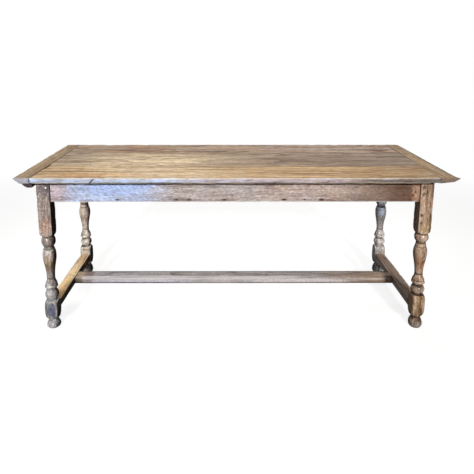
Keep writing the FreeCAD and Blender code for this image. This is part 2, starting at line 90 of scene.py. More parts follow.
class Strand:
    # one socket of a material, so that sums on it read as plain sums
    def __init__(self, tree, socket=None):
        self.tree = tree
        self.socket = socket

    def node(self, kind, settings=None, inputs=None, out=0):
        made = self.tree.nodes.new("ShaderNode" + kind)
        for key, value in (settings or {}).items():
            if key == "stops":
                self.setStops(made.color_ramp, value)
            else:
                setattr(made, key, value)
        for key, value in (inputs or {}).items():
            if isinstance(value, Strand):
                value.into(made, key)
            else:
                made.inputs[key].default_value = value
        return Strand(self.tree, made.outputs[out])

    def setStops(self, ramp, stops):
        while len(ramp.elements) < len(stops):
            ramp.elements.new(0.5)
        for element, (place, colour) in zip(ramp.elements, stops):
            element.position = place
            element.color = colour

    def into(self, node, key):
        self.tree.links.new(self.socket, node.inputs[key])

    def sum(self, operation, first, second):
        return self.node("Math", {"operation": operation}, {0: first, 1: second})

    def __add__(self, other):
        return self.sum("ADD", self, other)

    def __radd__(self, other):
        return self.sum("ADD", other, self)

    def __sub__(self, other):
        return self.sum("SUBTRACT", self, other)

    def __rsub__(self, other):
        return self.sum("SUBTRACT", other, self)

    def __mul__(self, other):
        return self.sum("MULTIPLY", self, other)

    def __rmul__(self, other):
        return self.sum("MULTIPLY", other, self)

    def __truediv__(self, other):
        return self.sum("DIVIDE", self, other)

    def __rtruediv__(self, other):
        return self.sum("DIVIDE", other, self)

    def __pow__(self, other):
        return self.sum("POWER", self, other)

    def most(self, other):
        return self.sum("MAXIMUM", self, other)

    def fraction(self):
        return self.node("Math", {"operation": "FRACT"}, {0: self})

    def ease(self, low, high, start=0.0, end=1.0):
        # smooth step from start to end as the value goes from low to high
        values = {"Value": self, "From Min": low, "From Max": high, "To Min": start, "To Max": end}
        return self.node("MapRange", {"interpolation_type": "SMOOTHSTEP"}, values)

    def part(self, letter):
        return self.node("SeparateXYZ", None, {0: self}, letter)

    def grown(self, size, detail=3.0, rough=0.55, twist=0.0):
        # noise whose blots are as long as size on each axis
        place = self.node("VectorMath", {"operation": "DIVIDE"}, {0: self, 1: size})
        values = {"Vector": place, "Scale": 1.0, "Detail": detail}
        return self.node("TexNoise", None, {**values, "Roughness": rough, "Distortion": twist}, "Fac")

    def distanceTo(self, place, size):
        # 1 at the rim of an ellipsoid round a place
        moved = self.node("VectorMath", {"operation": "SUBTRACT"}, {0: self, 1: place})
        scaled = moved.node("VectorMath", {"operation": "DIVIDE"}, {0: moved, 1: size})
        return scaled.node("VectorMath", {"operation": "LENGTH"}, {0: scaled}, "Value")

    def painted(self, mask, colour):
        # this colour, with another one laid over it where the mask is 1
        return self.node("Mix", {"data_type": "RGBA"}, {0: mask, 6: self, 7: colour}, 2)

    def shifted(self, mask, colour, middle):
        # this colour, turned where the mask is 1: its middle becomes another one and the grain stays
        ratio = [a / b for a, b in zip(colour, middle)]
        settings = {"data_type": "RGBA", "blend_type": "MULTIPLY"}
        return self.node("Mix", settings, {0: mask, 6: self, 7: ratio}, 2)


def newFinish(name):
    finish = bpy.data.materials.new(name)
    finish.use_nodes = True
    tree = finish.node_tree
    return finish, Strand(tree), tree.nodes["Principled BSDF"]


# Old oak. Every piece starts from this look and changes what differs.
oakLook = {
    "grain": "x",
    "shift": (0.0, 0.0, 0.0),
    "tones": ((112, 84, 62), (170, 140, 110), (208, 180, 146)),  # dark, middle, light
    "silver": (158, 148, 140),
    "silverShare": 0.35,
    "umber": (74, 54, 42),
    "blots": 0.35,
    "worn": (222, 204, 180),
    "wornShare": 0.75,
    "grime": (38, 28, 24),
    "grimeAndShadeShare": 0.9,
    "rings": 0.11,
    "ringGap": 0.0065,
    "pithDepth": 0.07,
    "rough": 0.48,
    "gloss": 0.03,
    "streakLength": 0.26,
    "cloud": 0.3,
    "darkFlecks": 0.3,
    "paleFlecks": 0.2,
    "fleckSize": (0.007, 0.007, 0.007),
    "mottle": 0.0,
    "mottleSize": (0.06, 0.022, 0.022),
    "polish": 0.0,
    "fades": [],               # axis, start, end, colour, share
    "zones": [],               # place, size, colour, share
    "marks": [],               # the same
}
innerLook = {
    # the pieces inside and underneath
    **oakLook,
    "grain": "y",
    "tones": ((92, 70, 54), (140, 114, 92), (172, 146, 120)),
    "rough": 0.62,
}
oakGrain = {
    # how long the blots of the grain are, along the board and across it
    "sway": (0.8, 0.14, 0.14),
    "band": (0.6, 0.05, 0.05),
    "streakWidth": 0.010,
    "fibre": (0.09, 0.0018, 0.0018),
    "pore": (0.013, 0.0008, 0.0008),
    "cloud": (0.08, 0.02, 0.02),
    "patch": (0.3, 0.2, 0.2),
    "ragged": (0.014, 0.014, 0.014),
    "relief": 0.0012,
}
waxCoat = {"Coat Roughness": 0.26, "Coat IOR": 1.65}
grainTurn = {"x": (0, 0, 0), "y": (0, 0, -math.pi / 2), "z": (0, math.pi / 2, 0)}


def oakFinish(name, look):
    finish, pen, shader = newFinish(name)
    dark, middle, light = [tint(tone) for tone in look["tones"]]
    silver, umber, worn, sootAndShade = [tint(look[key]) for key in ("silver", "umber", "worn", "grime")]
    spot = pen.node("TexCoord", None, None, "Object")
    mapping = {"Vector": spot, "Location": look["shift"], "Rotation": grainTurn[look["grain"]]}
    flow = pen.node("Mapping", None, mapping)

    # growth rings round a pith below the face, and fibres that sway with them along the board
    sway = flow.grown(oakGrain["sway"], 2.0) - 0.5
    across = flow.part("Y") + sway * 0.09
    below = flow.part("Z") + (look["pithDepth"] + sway * 0.05)
    reach = (across * across + below * below) ** 0.5
    ring = (reach / look["ringGap"]).fraction().ease(0.0, 0.8)
    drift = {"X": flow.part("X"), "Y": flow.part("Y") + sway * 0.05, "Z": flow.part("Z") + sway * 0.03}
    fibres = pen.node("CombineXYZ", None, drift)
    band = fibres.grown(oakGrain["band"], 4.0, 0.6, 0.3)
    width = oakGrain["streakWidth"]
    streak = fibres.grown((look["streakLength"], width, width), 5.0, 0.64)
    fibre = fibres.grown(oakGrain["fibre"], 3.0, 0.6)
    pore = fibres.grown(oakGrain["pore"], 1.0).ease(0.58, 0.7)
    cloud = flow.grown(oakGrain["cloud"], 4.0, 0.65, 0.4)
    grain = band * 0.36 + streak * 0.36 + fibre * 0.17 + (ring - 0.5) * look["rings"] + 0.055
    tone = grain + (cloud - 0.5) * look["cloud"]
    stops = [(0.41, dark), (0.5, middle), (0.59, light)]
    colour = pen.node("ValToRGB", {"stops": stops}, {"Fac": tone}, "Color")

    # silvered patches, dark blots and a bloom in fine mottles
    patch = spot.grown(oakGrain["patch"], 4.0, 0.6, 0.4)
    colour = colour.painted(patch.ease(0.4, 0.62, 0.0, look["silverShare"]), silver)
    colour = colour.painted(cloud.ease(0.6, 0.74, 0.0, look["blots"]), umber)
    colour = colour.painted(pore * 0.45, umber)
    mottle = spot.grown(look["mottleSize"], 4.0, 0.65, 0.5).ease(0.46, 0.66, 0.0, look["mottle"])
    colour = colour.painted(mottle, silver)

    # fades along the piece and zones on it, which keep the grain and include painted reflections and
    # highlights, then stains, painted highlights and painted shade, then flecks over all
    for letter, start, end, shade, share in look["fades"]:
        uneven = (patch - 0.5) * 0.6 + (streak - 0.5) * 0.7
        mask = (spot.part(letter) + uneven * (end - start)).ease(start, end, 0.0, share)
        colour = colour.shifted(mask, tint(shade), middle)
    ragged = (spot.grown(oakGrain["ragged"], 4.0, 0.6) - 0.5) * 0.8 + (streak - 0.5) * 1.4
    for place, size, shade, share in look["zones"]:
        mask = (spot.distanceTo(place, size) + ragged).ease(0.3, 1.15, share, 0.0)
        colour = colour.shifted(mask, tint(shade), middle)
    for place, size, shade, share in look["marks"]:
        mask = (spot.distanceTo(place, size) + ragged).ease(0.5, 1.05, share, 0.0)
        colour = colour.painted(mask, tint(shade))
    fleck = flow.grown(look["fleckSize"], 3.0, 0.65)
    colour = colour.painted(fleck.ease(0.52, 0.64, 0.0, look["darkFlecks"]), umber)
    colour = colour.shifted(fleck.ease(0.36, 0.48, look["paleFlecks"], 0.0), worn, middle)

    # wear on the edges; dirt in the joints and necks, and painted shade on faces and edges that lie in
    # shadow
    wear = pen.node("Attribute", {"attribute_name": "wear"}, None, "Fac")
    rubbed = (wear * (0.45 + streak)).ease(0.6, 1.0, 0.0, look["wornShare"])
    colour = colour.painted(rubbed, worn)
    grime = pen.node("Attribute", {"attribute_name": "grime"}, None, "Fac")
    dirtyAndShaded = (grime * (0.45 + patch)).ease(0.25, 0.95, 0.0, look["grimeAndShadeShare"])
    colour = colour.painted(dirtyAndShaded, sootAndShade)

    colour.into(shader, "Base Color")
    coarse = look["rough"] + (fibre - 0.5) * 0.25 + dirtyAndShaded * 0.5 - rubbed * 0.08
    coarse.into(shader, "Roughness")
    if look["polish"]:
        waxed = wear.ease(0.05, 0.5) * (1 - dirtyAndShaded) * look["polish"]
        waxed.into(shader, "Coat Weight")
        for key, value in waxCoat.items():
            shader.inputs[key].default_value = value
    height = fibre * 0.5 + ring * (3.2 * look["rings"]) + streak * 0.6 - pore * 0.7
    bump = {"Strength": 0.35, "Distance": oakGrain["relief"], "Height": height}
    pen.node("Bump", None, bump).into(shader, "Normal")
    shader.inputs["Specular IOR Level"].default_value = look["gloss"]
    return finish


# Iron of the nails
ironLook = {
    "black": (38, 34, 34),
    "rust": (80, 58, 48),
    "rough": 0.62,
    "metal": 0.55,
    "scaleSize": (0.004, 0.004, 0.004),
    "relief": 0.0008,
}


def ironFinish(name, look):
    finish, pen, shader = newFinish(name)
    spot = pen.node("TexCoord", None, None, "Object")
    scale = spot.grown(look["scaleSize"], 4.0, 0.65)
    rusty = scale.ease(0.46, 0.62)
    stops = [(0.3, tint(look["black"])), (0.7, tint(look["rust"]))]
    pen.node("ValToRGB", {"stops": stops}, {"Fac": rusty}, "Color").into(shader, "Base Color")
    coarse = look["rough"] + rusty * 0.25
    coarse.into(shader, "Roughness")
    metal = (1 - rusty) * look["metal"]
    metal.into(shader, "Metallic")
    bump = {"Strength": 0.5, "Distance": look["relief"], "Height": scale}
    pen.node("Bump", None, bump).into(shader, "Normal")
    return finish


# Mesh helpers
bodies = frame["record"]["behaviour"]["bodies"]
bodyOf = {node: body for body, nodes in bodies.items() for node in nodes}


def newMesh():
    bm = bmesh.new()
    bm.verts.layers.float.new("wear")
    bm.verts.layers.float.new("grime")
    return bm


def layer(bm, name):
    return bm.verts.layers.float[name]


def onAxis(along, distance, across, up):
    # a point at a distance along one axis, with the two others in x, y, z order
    if along == "x":
        return Vector((distance, across, up))
    if along == "y":
        return Vector((across, distance, up))
    return Vector((across, up, distance))


def addPiece(name, node, bm, slot, finish, sharp=38):
    bmesh.ops.recalc_face_normals(bm, faces=bm.faces)
    mesh = bpy.data.meshes.new(name)
    bm.to_mesh(mesh)
    bm.free()
    mesh.polygons.foreach_set("use_smooth", [True] * len(mesh.polygons))
    mesh.set_sharp_from_angle(angle=math.radians(sharp))
    mesh.materials.append(finish)
    piece = bpy.data.objects.new(name, mesh)
    scene.collection.objects.link(piece)
    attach(piece, bodyOf[node])
    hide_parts(node)


def pieceName(node):
    # leg_front_left becomes legFrontLeft
    words = node.split("_")
    return words[0] + "".join(word.capitalize() for word in words[1:])


def addOak(node, bm, slot, look, **extra):
    name = pieceName(node)
    addPiece(name, node, bm, slot, oakFinish(name, look), **extra)


def drawOut(bm, cap, along, distance):
    # pulls a face out along an axis, and gives the points and the faces of its new end
    grown = bmesh.ops.extrude_face_region(bm, geom=[cap])["geom"]
    far = [part for part in grown if isinstance(part, bmesh.types.BMVert)]
    tops = [part for part in grown if isinstance(part, bmesh.types.BMFace)]
    bmesh.ops.translate(bm, verts=far, vec=onAxis(along, distance, 0, 0))
    return far, tops


def addPrism(bm, outline, along, ends):
    # a closed outline drawn out along one axis
    start, end = ends
    near = [bm.verts.new(onAxis(along, start, across, up)) for across, up in outline]
    far = drawOut(bm, bm.faces.new(near), along, end - start)[0]
    bmesh.ops.recalc_face_normals(bm, faces=bm.faces)
    return near + far


def prism(outline, along, ends):
    bm = newMesh()
    addPrism(bm, outline, along, ends)
    return bm


def softenEdges(bm, offset):
    bmesh.ops.bevel(
        bm, geom=bm.edges[:], offset=offset, segments=2, profile=0.5,
        affect="EDGES", material=-1, clamp_overlap=True)


def noteArrises(bm, turn=0.2):
    # wear is 1 where the faces round a point turn away from each other
    wear = layer(bm, "wear")
    bm.normal_update()
    for vert in bm.verts:
        normals = [face.normal for face in vert.link_faces]
        if any(normals[0].angle(other, 0.0) > turn for other in normals[1:]):
            vert[wear] = 1.0


def sliceUp(bm, along, step):
    # cuts the long faces into cells, so that wear has something to move
    index = "xyz".index(along)

    def run(edge):
        return abs((edge.verts[1].co - edge.verts[0].co)[index])

    longest = max(run(edge) for edge in bm.edges)
    longEdges = [edge for edge in bm.edges if run(edge) > 0.8 * longest]
    bmesh.ops.subdivide_edges(bm, edges=longEdges, cuts=int(longest / step), use_grid_fill=True)
    groups = {}
    for edge in bm.edges:
        cuts = int(edge.calc_length() / step)
        if cuts > 0 and run(edge) < 0.2 * step:
            groups.setdefault(cuts, []).append(edge)
    for cuts, edges in groups.items():
        bmesh.ops.subdivide_edges(bm, edges=edges, cuts=cuts, use_grid_fill=True)


def handPlane(bm, seed, chip, hollow=0.0007, cell=0.09, biteSize=0.035):
    # shallow hollows all over and deeper bites out of the arrises, only ever inwards
    wear = layer(bm, "wear")
    bm.normal_update()
    offset = Vector((seed * 3.7, seed * 1.3, seed * 2.1))
    for vert in bm.verts:
        wave = 0.5 + 0.5 * noise.noise(vert.co / cell + offset)
        bite = max(0.0, noise.fractal(vert.co / biteSize + offset, 0.8, 2.0, 4))
        depth = hollow * wave + vert[wear] * chip * min(1.0, bite)
        vert.co -= vert.normal * depth


def soilJoints(bm, planes, amount, reach=0.001):
    # dirt instead of wear where a piece meets its neighbour, and painted shade on faces and edges in
    # shadow; a plane is an axis and a place on it
    wear, grime = layer(bm, "wear"), layer(bm, "grime")
    for vert in bm.verts:
        for axis, place in planes:
            away = abs(vert.co["xyz".index(axis)] - place)
            if away < 3 * reach:
                vert[wear] = 0.0
            if away < reach:
                vert[grime] = max(vert[grime], amount)


def corners(low, high, along):
    # section of a plain board, seen along its length
    u, v = [axis for axis in range(3) if axis != "xyz".index(along)]
    return [(low[u], low[v]), (high[u], low[v]), (high[u], high[v]), (low[u], high[v])]


def steppedSection(back, face, step, low, high, middle, half):
    # section of a rail whose face has a groove or a tongue that reaches to step
    return [
        (back, low.z), (face, low.z), (face, middle - half), (step, middle - half),
        (step, middle + half), (face, middle + half), (face, high.z), (back, high.z),
    ]


def plankMesh(outline, along, ends, seed, arris, chip, step=0.014,
              joints=(), jointDirt=0.8, endDirt=1.0, dirtReach=0.001):
    bm = prism(outline, along, ends)
    softenEdges(bm, arris)
    sliceUp(bm, along, step)
    noteArrises(bm)
    soilJoints(bm, joints, jointDirt, dirtReach)
    soilJoints(bm, [(along, place) for place in ends], endDirt, dirtReach)
    handPlane(bm, seed, chip)
    return bm


def makePlank(node, outline, along, ends, slot, look, **shape):
    addOak(node, plankMesh(outline, along, ends, **shape), slot, look)


# Sizes that the pieces share, most of them read from the frame
boxes = {node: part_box(node) for node in frame["nodes"]}
clampInner = boxes["end_clamp_right"][0].x
topLow = boxes["end_clamp_left"][0].z
topHigh = boxes["end_clamp_left"][1].z
topFront = boxes["end_clamp_left"][0].y
frameTop = boxes["leg_front_left"][1].z
blockHalf = 0.030                  # half of a leg's square blocks
shoulderGap = 0.0002               # between a shoulder and what it stops at
pegRadius = 0.0045
pegAside = 0.015                   # from a leg's axis to its apron pegs


def legCentre(node):
    low, high = boxes[node]
    return (low + high) / 2


def pegHeights(node):
    low, high = boxes[node]
    return high.z - pegRadius, low.z + pegRadius


legX = legCentre("leg_front_right").x
legY = legCentre("leg_rear_right").y
print("sizes read: top", round(topHigh, 4), "legs at", round(legX, 4), round(legY, 4))

# Top boards
topLook = {
    **oakLook,
    "gloss": 0.05,
    "silverShare": 0.1,
    "cloud": 0.22,
    "darkFlecks": 0.4,
    "paleFlecks": 0.45,
    "fleckSize": (0.040, 0.007, 0.007),
    "streakLength": 0.34,
}
edgeHigh = (topLow + topHigh) / 2
boardLooks = {
    "front": {
        **topLook,
        "shift": (0.3, 0.05, 0.0),
        "tones": ((148, 109, 70), (203, 164, 119), (235, 201, 153)),
        "fades": [("X", 0.2, 0.95, (160, 124, 88), 0.5)],
        "zones": [
            ((-0.66, -0.30, topHigh), (0.26, 0.05, 0.02), (224, 172, 116), 0.8),
            ((-0.36, -0.25, topHigh), (0.40, 0.14, 0.02), (234, 200, 156), 0.9),
        ],
        "marks": [
            ((0.13, -0.335, topHigh), (0.16, 0.010, 0.02), (142, 104, 70), 0.6),
            # painted cool reflection along the front edge, pinkish grey in the middle and darker grey
            # at the right end; a pale worn upper arris with a painted highlight
            ((-0.62, topFront, edgeHigh), (0.80, 0.009, 0.04), (198, 205, 220), 0.95),
            ((0.22, topFront, edgeHigh), (0.55, 0.009, 0.04), (198, 181, 183), 0.85),
            ((0.85, topFront, edgeHigh), (0.46, 0.009, 0.04), (124, 114, 109), 0.95),
            ((-0.25, topFront, topHigh), (1.6, 0.007, 0.006), (240, 230, 222), 0.85),
            # painted shadow along its lower arris
            ((0.0, topFront, topLow), (1.9, 0.02, 0.0055), (48, 44, 52), 0.85),
        ],
    },
    "middle": {
        **topLook,
        "shift": (1.7, -0.03, 0.0),
        "tones": ((132, 107, 87), (180, 153, 127), (204, 180, 151)),
        "fades": [("X", -0.3, 0.7, (145, 124, 109), 0.7)],
        "zones": [((-0.45, -0.06, topHigh), (0.42, 0.20, 0.02), (234, 204, 166), 1.0)],
    },
    "rear": {
        **topLook,
        "shift": (2.9, 0.02, 0.0),
        "tones": ((106, 78, 60), (176, 145, 120), (212, 182, 154)),
        "silverShare": 0.2,
        "zones": [
            ((-0.55, 0.20, topHigh), (0.30, 0.11, 0.02), (154, 118, 92), 0.8),
            ((0.55, 0.25, topHigh), (0.45, 0.15, 0.02), (184, 158, 141), 0.7),
        ],
        "marks": [
            ((-0.58, 0.21, topHigh), (0.06, 0.022, 0.02), (94, 68, 56), 0.55),
            ((-0.55, 0.31, topHigh), (0.06, 0.030, 0.02), (204, 150, 102), 0.55),
            ((0.80, 0.20, topHigh), (0.05, 0.05, 0.02), (92, 52, 40), 0.6),
        ],
    },
}
boardShape = {"arris": 0.0016, "chip": 0.003, "jointDirt": 0.6, "endDirt": 0.95}
boardGap = 0.0006
tongue = {"half": 0.004, "reach": 0.027, "inset": 0.031, "seat": 0.004}
# the joint that has opened at the left clamp
jointGap = {"y": -0.150, "half": 0.048, "depth": 0.007, "within": 0.004}
crack = {
    "place": (-0.627, topFront, edgeHigh),
    "facing": (-0.62, 0.57, 0.54),
    "half": 0.003,
    "line": 0.0006,            # points this near its plane sink in
    "depth": 0.007,
    "reach": 0.020,
    "cutWithin": 0.06,
    "sinkWithin": 0.05,
}


def openJoint(bm):
    for vert in bm.verts:
        away = abs(vert.co.y - jointGap["y"]) / jointGap["half"]
        if vert.co.x < jointGap["within"] - clampInner and away < 1:
            vert.co.x += jointGap["depth"] * (1 - away * away)


def addTongues(bm, low, high, ends):
    # what is left of the joint when one looks down into it
    front = max(low.y, topFront + tongue["inset"])
    rear = min(high.y, -topFront - tongue["inset"])
    bottom, top = edgeHigh - tongue["half"], edgeHigh + tongue["half"]
    outline = [(front, bottom), (rear, bottom), (rear, top), (front, top)]
    grime = layer(bm, "grime")
    for place, out in zip(ends, (-1, 1)):
        run = (place - out * tongue["seat"], place + out * tongue["reach"])
        for vert in addPrism(bm, outline, "x", run):
            vert[grime] = 1.0


def crackEdge(bm):
    # a short slanting check that runs from the front edge into the top
    grime = layer(bm, "grime")
    place = Vector(crack["place"])
    facing = Vector(crack["facing"]).normalized()
    for step in (-1, 0, 1):
        faces = [face for face in bm.faces
                 if (face.calc_center_median() - place).length < crack["cutWithin"]]
        edges = {edge for face in faces for edge in face.edges}
        verts = {vert for face in faces for vert in face.verts}
        bmesh.ops.bisect_plane(bm, geom=[*verts, *edges, *faces], dist=1e-6,
                               plane_co=place + facing * step * crack["half"], plane_no=facing)
    bm.normal_update()
    for vert in bm.verts:
        off = vert.co - place
        onLine = off.length < crack["sinkWithin"] and abs(off.dot(facing)) < crack["line"]
        if onLine and off.y < crack["reach"]:
            vert[grime] = 1.0
            vert.co -= vert.normal * crack["depth"] * (1 - max(0.0, off.y) / crack["reach"])


def makeTopBoards():
    ends = (shoulderGap - clampInner, clampInner - shoulderGap)
    for index, (row, look) in enumerate(boardLooks.items()):
        node = "top_board_" + row
        low, high = boxes[node]
        if row == "middle":          # its own box has the side tongues too
            low = Vector((low.x, boxes["top_board_front"][1].y + boardGap, low.z))
            high = Vector((high.x, boxes["top_board_rear"][0].y - boardGap, high.z))
        seams = [("y", y) for y in (low.y, high.y) if abs(y) < -topFront - boardGap]
        bm = plankMesh(corners(low, high, "x"), "x", ends, seed=2.0 + index, joints=seams, **boardShape)
        openJoint(bm)
        if row == "front":
            crackEdge(bm)
        addTongues(bm, low, high, ends)
        addOak(node, bm, "top_oak", look)


# Clamps across the ends of the top
clampSettings = {
    "left": {
        "bevel": 0.028, "rise": 0.0, "nose": 0.003, "beak": 0.0, "corner": 0.004, "jointDirt": 0.75,
        "shift": (0.4, 0.3, 0.0), "endTone": (190, 188, 194), "noseShare": 0.6,
    },
    "right": {
        "bevel": 0.017, "rise": 0.006, "nose": 0.003, "beak": 0.012, "corner": 0.022, "jointDirt": 0.45,
        "shift": (1.1, 0.2, 0.0), "endTone": (142, 124, 111), "noseShare": 0.85,
    },
}
clampShape = {"step": 0.007, "arris": 0.0014, "chip": 0.003, "endDirt": 0.0, "dirtReach": 0.0018}
beakLength, beakDepth = 0.028, 0.020
clampLook = {
    **topLook,
    "grain": "y",
    "tones": ((96, 68, 44), (166, 138, 106), (204, 174, 134)),
    "darkFlecks": 0.2,
    "paleFlecks": 0.2,
}


def shapeNose(bm, settings, tip, sign):
    # the rear corner is rounded off, and the front one drawn out to a beak
    corner = settings["corner"]
    for vert in bm.verts:
        inset = (vert.co.x - tip) * sign
        fromRear = -topFront - vert.co.y
        if fromRear < corner:
            limit = math.sqrt(max(0.0, corner ** 2 - (corner - max(0.0, fromRear)) ** 2)) - corner
            vert.co.x += sign * min(0.0, limit - inset)
        near = 1 - (vert.co.y - topFront) / beakLength
        if near > 0 and inset > -beakDepth:
            vert.co.x += sign * settings["beak"] * min(1.0, near) * (1 + inset / beakDepth)


def makeClamps():
    for side, settings in clampSettings.items():
        node = "end_clamp_" + side
        low, high = boxes[node]
        sign = -1 if side == "left" else 1
        tip = low.x if side == "left" else high.x
        inner = sign * clampInner
        outline = [
            (inner, low.z), (tip - sign * settings["bevel"], low.z + settings["rise"]),
            (tip, high.z - settings["nose"]), (tip, high.z), (inner, high.z),
        ]
        bm = plankMesh(outline, "y", (low.y, high.y), seed=7.0 + sign, joints=[("x", inner)],
                       jointDirt=settings["jointDirt"], **clampShape)
        shapeNose(bm, settings, tip, sign)
        # the end face gets a painted cool reflection on the left clamp and a darker tone on the right
        # one; painted shade runs along the outer nose
        endTint = ((tip, topFront, edgeHigh), (0.2, 0.012, 0.06), settings["endTone"], 0.85)
        darkening = ((tip, 0.0, edgeHigh), (0.010, 0.6, 0.05), (84, 74, 64), settings["noseShare"])
        look = {**clampLook, "shift": settings["shift"], "marks": [darkening, endTint]}
        name = "clamp" + side.capitalize()
        addPiece(name, node, bm, "top_oak", oakFinish(name, look))


# Batten under the left overhang
battenSettings = {"chamferAcross": 0.020, "chamferUp": 0.014}
battenShape = {"arris": 0.0014, "chip": 0.002, "seed": 11.0, "endDirt": 0.2}
# its dark tones are painted shade, for it lies in the shadow of the overhang
battenLook = {
    **innerLook,
    "tones": ((48, 42, 44), (82, 72, 74), (118, 106, 106)),
    "silverShare": 0.2,
    "worn": (150, 140, 140),
}


def makeBatten():
    low, high = boxes["end_batten"]
    outline = [
        (low.x, high.z), (high.x, high.z), (high.x, low.z),
        (low.x + battenSettings["chamferAcross"], low.z), (low.x, low.z + battenSettings["chamferUp"]),
    ]
    makePlank("end_batten", outline, "y", (low.y, high.y), "inner_oak", battenLook, **battenShape)


makeTopBoards()
makeClamps()
makeBatten()
print("top done")

# Legs: heights of the turned members, from the floor up
turning = {
    "foot": 0.051, "footNeck": 0.008, "lowBlock": 0.109, "blockNeck": 0.006, "lowBall": 0.039,
    "ballNeck": 0.005, "disc": 0.020, "discQuirk": 0.004, "flare": 0.029, "vase": 0.135,
    "collar": 0.018, "neck": 0.006, "highBall": 0.040, "quirk": 0.003,
}
turnings = {
    # this one was turned lower on its blank
    "leg_front_left": {
        **turning, "foot": 0.038, "lowBlock": 0.094, "lowBall": 0.047, "vase": 0.145,
        "collar": 0.005, "highBall": 0.050,
    },
    # and this one has a short collar under a taller ball
    "leg_rear_right": {**turning, "collar": 0.004, "highBall": 0.054},
}
turningRadius = {
    "contact": 0.023, "foot": 0.032, "footNeck": 0.021, "lowBlock": 0.0390, "blockNeck": 0.023,
    "lowBall": 0.0315, "ballNeck": 0.022, "disc": 0.0305, "discQuirk": 0.0255, "flare": 0.028,
    "stem": 0.0188, "vase": 0.0315, "shoulder": 0.0255, "vaseQuirk": 0.024, "collar": 0.0255,
    "neck": 0.022, "highBall": 0.0325, "quirk": 0.025, "highBlock": 0.0414,
}
legSettings = {
    "pommel": 0.026, "lowPommel": 0.042, "turns": 64, "blockStep": 0.012, "collarStep": 0.004,
    "pommelHandles": (0.53, 0.38),
    "flareHandles": (0.3, 0.6),
    "vaseHandles": (0.36, 0.56), "vaseBelly": 0.75, "vaseShoulder": 0.97, "footLean": 0.14,
    "neckReach": 0.0062, "quirkReach": 0.003,
    "wearFrom": 0.0265, "wearOver": 0.005,
    "faceFrom": 0.95, "arrisFrom": 0.75, "arrisTo": 1.05,  # shares of a block's half width
}
legShape = {"chip": 0.0025, "hollow": 0.0006, "cell": 0.05}
legDirtAndShade = {
    # dirt in the necks; painted shade on the inner side and on the outer side
    "leg_front_left": (0.76, 1.0, 0.3),
    "leg_rear_left": (0.85, 1.0, 0.05),
    "leg_front_right": (0.9, 0.45, 0.5),
    "leg_rear_right": (0.88, 0.6, 0.35),
}


def bend(line, first, second, end, steps=8):
    # a smooth curve from the last point of the outline, steered by two handles
    knots = [Vector((radius, 0, height)) for radius, height in (line[-1], first, second, end)]
    line += [(point.x, point.z) for point in interpolate_bezier(*knots, steps + 1)[1:]]


def swell(line, bulge, end, steps=9, lean=0.0):
    # a bead or a hollow, with its middle at radius bulge; lean moves the middle down
    radius, height = line[-1]
    handle = (8 * bulge - radius - end[0]) / 6
    tall = end[1] - height
    first = (handle, height + tall * (1 / 3 - lean))
    second = (handle, height + tall * (2 / 3 - lean))
    bend(line, first, second, end, steps)


def straight(line, end, step):
    radius, height = line[-1]
    count = max(1, round(abs(end[1] - height) / step))
    for index in range(1, count + 1):
        share = index / count
        line.append((radius + (end[0] - radius) * share, height + (end[1] - height) * share))


def legOutline(heights):
    # half outline, and where its dirty necks and its blocks are
    radii, settings = turningRadius, legSettings
    pommel = settings["pommel"]
    low, high = settings["pommelHandles"]
    line = [(0.0, 0.0), (radii["contact"], 0.0)]
    necks = []

    def rise(member):
        return line[-1][1] + heights[member]

    def neckTo(member, reach="neckReach"):
        necks.append((line[-1][1] + heights[member] / 2, settings[reach]))
        line.append((radii[member], rise(member)))

    def bead(member, neck, reach="neckReach", **shape):
        swell(line, radii[member], (radii[neck], rise(member)), **shape)
        neckTo(neck, reach)

    def pommelUp(corner, tall):
        neck, bottom = line[-1]
        first = (neck + low * (corner - neck), bottom)
        second = (corner, bottom + high * tall)
        bend(line, first, second, (corner, bottom + tall))

    def pommelIn(neck, top):
        corner = line[-1][0]
        first = (corner, top - high * pommel)
        second = (neck + low * (corner - neck), top)
        bend(line, first, second, (neck, top))

    # foot and lower block
    bead("foot", "footNeck", steps=12, lean=settings["footLean"])
    lowStart, lowEnd = line[-1][1], rise("lowBlock")
    pommelUp(radii["lowBlock"], settings["lowPommel"])
    straight(line, (radii["lowBlock"], lowEnd - pommel), settings["blockStep"])
    pommelIn(radii["blockNeck"], lowEnd)
    neckTo("blockNeck")

    # ball, disc, and the flare that narrows to the stem of the vase
    bead("lowBall", "ballNeck")
    bead("disc", "discQuirk", "quirkReach")
    stem, vase, lip = radii["stem"], radii["vase"], radii["shoulder"]
    start, end = line[-1][1], rise("flare")
    line.append((radii["flare"], start))
    first, second = [start + share * (end - start) for share in settings["flareHandles"]]
    bend(line, ((radii["flare"] + stem) / 2, first), (stem, second), (stem, end))
    necks.append((end, settings["quirkReach"]))

    # vase
    tall = heights["vase"]
    first, second = [end + share * tall for share in settings["vaseHandles"]]
    belly, shoulder = end + settings["vaseBelly"] * tall, end + settings["vaseShoulder"] * tall
    bend(line, (stem, first), (vase, second), (vase, belly), steps=14)
    bend(line, (vase, (belly + shoulder) / 2), ((vase + lip) / 2, shoulder), (lip, shoulder), steps=7)
    line.append((radii["vaseQuirk"], end + tall))
    necks.append((end + tall, settings["quirkReach"]))

    # collar, upper ball and upper block
    line.append((radii["collar"], end + tall))
    straight(line, (radii["neck"], rise("collar")), settings["collarStep"])
    neckTo("neck")
    bead("highBall", "quirk")
    highStart = line[-1][1]
    pommelUp(radii["highBlock"], pommel)
    straight(line, (radii["highBlock"], frameTop), settings["blockStep"])
    line.append((0.0, frameTop))
    return line, necks, ((lowStart, lowEnd), (highStart, math.inf))


